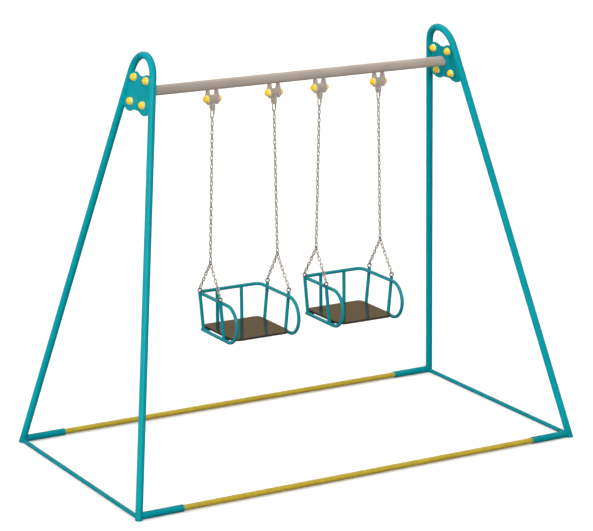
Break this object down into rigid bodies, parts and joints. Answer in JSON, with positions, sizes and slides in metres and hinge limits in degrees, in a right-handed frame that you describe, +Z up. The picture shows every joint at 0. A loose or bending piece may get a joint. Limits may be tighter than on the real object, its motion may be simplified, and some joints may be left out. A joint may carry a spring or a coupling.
{
  "type": "swing set",
  "caption": "Free-standing tubular A-frame swing set with chair seats hung by chains from bearing hangers under a round crossbeam, joined at the ground by rails.",
  "frame": {"origin": "on the ground under the middle of the set", "axes": "+X along the crossbeam, +Z up, -Y towards the open front of the seats"},
  "size_m": [2.7006, 1.4732, 2.2402],
  "materials": {
    "teal_paint": "satin teal powder coat",
    "grey_paint": "satin warm grey powder coat",
    "yellow_paint": "satin mustard yellow powder coat",
    "yellow_plastic": "glossy moulded yellow plastic",
    "zinc_steel": "zinc plated, dull",
    "dark_steel": "bare dark steel",
    "nylon": "black moulded nylon",
    "plywood": "brown film faced plywood, glossy"
  },
  "bodies": {
    "stand": {"left_a_frame_tube": "teal_paint", "left_ground_tie": "teal_paint", "left_ground_sockets": "teal_paint", "left_web_plate": "teal_paint", "left_beam_flange": "teal_paint", "right_a_frame_tube": "teal_paint", "right_ground_tie": "teal_paint", "right_ground_sockets": "teal_paint", "right_web_plate": "teal_paint", "right_beam_flange": "teal_paint", "front_ground_tube": "yellow_paint", "back_ground_tube": "yellow_paint", "ground_socket_screws": "zinc_steel", "crossbeam": "grey_paint", "hanger_ears": "grey_paint", "flange_bolts": "zinc_steel", "flange_nuts_and_washers": "zinc_steel", "hanger_pivot_bolts": "zinc_steel", "hanger_pivot_nuts_and_washers": "zinc_steel", "bolt_caps": "yellow_plastic"},
    "left_outer_hanger": {"left_outer_hanger_housing": "grey_paint", "left_outer_hanger_bushes": "nylon", "left_outer_quick_link": "zinc_steel", "left_outer_quick_link_sleeve": "zinc_steel", "left_outer_main_chain": "zinc_steel"},
    "left_inner_hanger": {"left_inner_hanger_housing": "grey_paint", "left_inner_hanger_bushes": "nylon", "left_inner_quick_link": "zinc_steel", "left_inner_quick_link_sleeve": "zinc_steel", "left_inner_main_chain": "zinc_steel"},
    "left_seat": {"left_split_rings": "dark_steel", "left_bridle_chains": "zinc_steel", "left_seat_eye_rings": "dark_steel", "left_seat_side_hoops": "teal_paint", "left_seat_back_rail": "teal_paint", "left_seat_posts": "teal_paint", "left_seat_bearers": "teal_paint", "left_seat_plank": "plywood", "left_seat_plank_screws": "zinc_steel", "left_seat_plank_washers": "zinc_steel"},
    "right_outer_hanger": {"right_outer_hanger_housing": "grey_paint", "right_outer_hanger_bushes": "nylon", "right_outer_quick_link": "zinc_steel", "right_outer_quick_link_sleeve": "zinc_steel", "right_outer_main_chain": "zinc_steel"},
    "right_inner_hanger": {"right_inner_hanger_housing": "grey_paint", "right_inner_hanger_bushes": "nylon", "right_inner_quick_link": "zinc_steel", "right_inner_quick_link_sleeve": "zinc_steel", "right_inner_main_chain": "zinc_steel"},
    "right_seat": {"right_split_rings": "dark_steel", "right_bridle_chains": "zinc_steel", "right_seat_eye_rings": "dark_steel", "right_seat_side_hoops": "teal_paint", "right_seat_back_rail": "teal_paint", "right_seat_posts": "teal_paint", "right_seat_bearers": "teal_paint", "right_seat_plank": "plywood", "right_seat_plank_screws": "zinc_steel", "right_seat_plank_washers": "zinc_steel"}
  },
  "joints": [
    {"name": "left_swing", "type": "hinge", "parent": "stand", "child": "left_outer_hanger", "pos_m": [-0.5106, 0, 1.958], "axis": [1, 0, 0], "range_deg": [-60, 60]},
    {"name": "left_inner_hanger_swing", "type": "hinge", "parent": "stand", "child": "left_inner_hanger", "pos_m": [-0.1406, 0, 1.958], "axis": [1, 0, 0], "range_deg": [-60, 60]},
    {"name": "left_seat_pitch", "type": "hinge", "parent": "left_outer_hanger", "child": "left_seat", "pos_m": [-0.5301, 0, 1.078], "axis": [1, 0, 0], "range_deg": [-25, 25]},
    {"name": "right_swing", "type": "hinge", "parent": "stand", "child": "right_outer_hanger", "pos_m": [0.5106, 0, 1.958], "axis": [1, 0, 0], "range_deg": [-60, 60]},
    {"name": "right_inner_hanger_swing", "type": "hinge", "parent": "stand", "child": "right_inner_hanger", "pos_m": [0.1406, 0, 1.958], "axis": [1, 0, 0], "range_deg": [-60, 60]},
    {"name": "right_seat_pitch", "type": "hinge", "parent": "right_outer_hanger", "child": "right_seat", "pos_m": [0.5301, 0, 1.078], "axis": [1, 0, 0], "range_deg": [-25, 25]}
  ],
  "couplings": [
    {"joint": "left_inner_hanger_swing", "follows": "left_swing", "ratio": 1},
    {"joint": "right_inner_hanger_swing", "follows": "right_swing", "ratio": 1}
  ]
}
